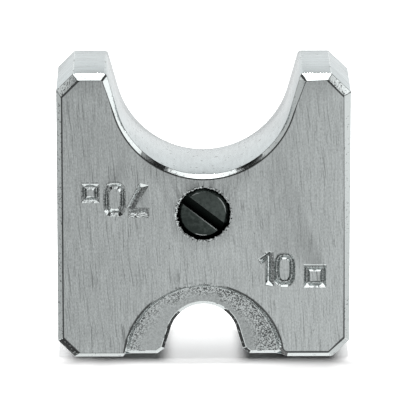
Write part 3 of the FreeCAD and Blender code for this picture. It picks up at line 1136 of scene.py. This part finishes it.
def slot_cutter():
    """Saw slot across the screw, its upper edges slightly opened."""
    lean = 0.05
    half = SLOT_WIDTH / 2
    return stepped_solid(
        [(4, half + lean * 2, -lean, 0), (4, half, lean, 0), (4, half, SLOT_DEPTH, 0)]
    )


def set_screw():
    """The threaded blank with its slot."""
    screw = as_object("slotted_screw", along_bore(screw_blank(), SCREW_FACE))
    thread = as_object("thread", along_bore(thread_body(), SCREW_FACE))
    slot = as_object("slot", along_bore(slot_cutter(), SCREW_FACE, -math.degrees(SLOT_TURN)))
    shaped(screw, [slot], "DIFFERENCE")
    return shaped(screw, [thread], "INTERSECT")


dressed(set_screw(), [black_oxide], "die", "set_screw")


# Detent spring and ball

COIL_STEPS = 48


def detent_coil():
    """Open coil with ground ends, from the screw's point to the ball."""
    bm = bmesh.new()
    wire = bmesh.ops.create_circle(bm, segments=14, radius=WIRE_RADIUS)["verts"]
    bmesh.ops.rotate(bm, cent=(0, 0, 0), matrix=turned("X", 90, 3), verts=wire)
    bmesh.ops.translate(bm, vec=(SPRING_RADIUS, 0, 0), verts=wire)
    count = round(COIL_STEPS * SPRING_TURNS)
    bmesh.ops.spin(
        bm, geom=bm.verts[:] + bm.edges[:], cent=(0, 0, 0), axis=(0, 0, 1),
        dvec=(0, 0, SPRING_LENGTH / count), angle=FULL_TURN * SPRING_TURNS, steps=count,
        use_merge=False,
    )
    cut_ends(bm, ((0.0, -1), (SPRING_LENGTH, 1)))
    bmesh.ops.rotate(bm, cent=(0, 0, 0), matrix=turned("X", 180, 3), verts=bm.verts)
    return as_object("detent_coil", along_bore(bm, SPRING_START))


coil = dressed(detent_coil(), [drawn_wire], "die", "detent_spring")
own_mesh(coil)


def steel_ball():
    """Ball that stands out of the block's back face as far as it travels."""
    bm = bmesh.new()
    bmesh.ops.create_uvsphere(bm, u_segments=72, v_segments=36, radius=BALL_RADIUS)
    return as_object("steel_ball", along_bore(bm, BALL_CENTRE))


dressed(steel_ball(), [polished_ball], "ball", "detent_ball", sharp=60)


# Floor and light


def light_path(finish, kind):
    """What kind of ray looks at this: 1 or 0, or how many times it was reflected."""
    return finish.node("ShaderNodeLightPath", output=kind)


def seen_in_metal(finish):
    """1 for what the camera sees reflected or through glass, otherwise 0."""
    clear = light_path(finish, "Diffuse Depth") < 0.5
    mirrored = light_path(finish, "Is Glossy Ray")
    return mirrored.or_more(light_path(finish, "Is Transmission Ray")) * clear


def floor_glow(x, y):
    """Where a glow seen only by the camera paints light on the floor: behind the die, past its ends
    and before it.
    """
    aside = x.absolute()
    behind = y.ramp(1.0, 4.5)
    far_aside = aside.ramp(17.0, 40.0)
    # Painted light under the small nest, as if coming through it, but weaker.
    under_nest = aside.ramp(4.4, 2.4) * y.ramp(-6.9, -5.1) * y.ramp(-4.5, 3.5, 0.66, 1.0)
    at_ends = (aside - x * 0.012).ramp(11.2, 13.3) * y.ramp(-7.4, -4.6) * 0.78
    before = y.ramp(-5.8, -7.4) * aside.ramp(2.5, 6.5, 0.06, 0.14)
    ahead = before + y.ramp(-8.3, -9.6) * 0.86
    # Painted light that lifts the shadow at the left foot.
    left_foot = x.ramp(-9.0, -11.0) * y.ramp(-4.5, -5.2) * 0.14
    return behind.or_more(under_nest, at_ends, ahead, far_aside) + left_foot


def pale_floor():
    """Plain white floor that keeps the die's shadow in front, with painted light and a painted
    shadow on it; in metal it shows as plain white.
    """
    bm = bmesh.new()
    bmesh.ops.create_grid(bm, x_segments=1, y_segments=1, size=4)
    floor = as_object("floor", bm)
    material = bpy.data.materials.new("white_floor")
    finish = Finish(material)
    x, y, _ = finish.parts(finish.place())
    # A painted shadow makes it a little darker under the right foot.
    painted_shadow = x.ramp(1, 8) * x.ramp(13, 11) * y.ramp(-3, -4.5) * 0.16
    paint = finish.node("ShaderNodeBsdfDiffuse", sockets={"Color": finish.grey(0.92 - painted_shadow)})
    glow = light_path(finish, "Is Camera Ray") * floor_glow(x, y) * 0.96
    shine = finish.node("ShaderNodeEmission", sockets={"Color": finish.grey(glow)})
    lit = finish.node("ShaderNodeAddShader", sockets=(paint, shine))
    # Metal sees it whiter towards the right.
    whiteness = x.ramp(-90, 30, 0.9, 1.0) + x.ramp(40, 100) * 0.15
    white = finish.node("ShaderNodeEmission", sockets={"Color": finish.grey(whiteness)})
    both = finish.node("ShaderNodeMixShader", sockets=(seen_in_metal(finish), lit, white))
    finish.node("ShaderNodeOutputMaterial", sockets={"Surface": both})
    floor.data.materials.append(material)


# The softbox hangs above the die and a little behind it.
SOFTBOX_HEIGHT = 1.5
SOFTBOX_BEHIND = math.radians(3.35)
SOFTBOX_SIZE = 0.183
SOFTBOX_POWER = 24.0
ROOM = 0.05


def softbox():
    """Square lamp that points at the foot of the die."""
    lamp = bpy.data.lights.new("softbox", "AREA")
    lamp.shape = "SQUARE"
    lamp.size = SOFTBOX_SIZE
    lamp.energy = SOFTBOX_POWER
    box = in_scene("softbox", lamp)
    box.location = (0, SOFTBOX_HEIGHT * math.tan(SOFTBOX_BEHIND), SOFTBOX_HEIGHT)
    box.rotation_euler = (-SOFTBOX_BEHIND, 0, 0)


def studio():
    """White background with dim room light; metal shows white cards with dark gaps between them."""
    world = bpy.data.worlds.new("studio")
    bpy.context.scene.world = world
    finish = Finish(world)
    x, y, z = finish.parts(finish.node("ShaderNodeTexCoord", output="Generated"))
    aside = x.absolute()
    front = y * -1
    low = z.ramp(0.76, 0.64)
    above = z.ramp(0, 0.3)
    overhead = aside.ramp(0.48, 0.43) * front.ramp(-0.2, -0.1) * front.ramp(0.46, 0.36) * above
    fore = aside.ramp(0.32, 0.2) * front.ramp(0.36, 0.46) * front.ramp(0.78, 0.68) * above
    back = y.ramp(0.5, 0.8) * z.ramp(0.6, 0.4)
    right = x.ramp(0.6, 0.8) * low
    left = (x * -1).ramp(0.6, 0.8) * low
    low_front = front.ramp(0.6, 0.8) * z.ramp(0.3, 0.1)
    cards = 0.04 + overhead * 1.2 + fore * 2.4 + back + right * 1.1 + left * 0.7 + low_front * 0.5
    camera_ray = light_path(finish, "Is Camera Ray")
    room = ROOM + (cards - ROOM) * seen_in_metal(finish)
    level = room + (1 - room) * camera_ray
    sky = finish.node("ShaderNodeBackground", sockets={"Color": finish.grey(level)})
    finish.node("ShaderNodeOutputWorld", sockets={"Surface": sky})


pale_floor()
softbox()
studio()
bpy.context.scene.view_settings.view_transform = "Standard"
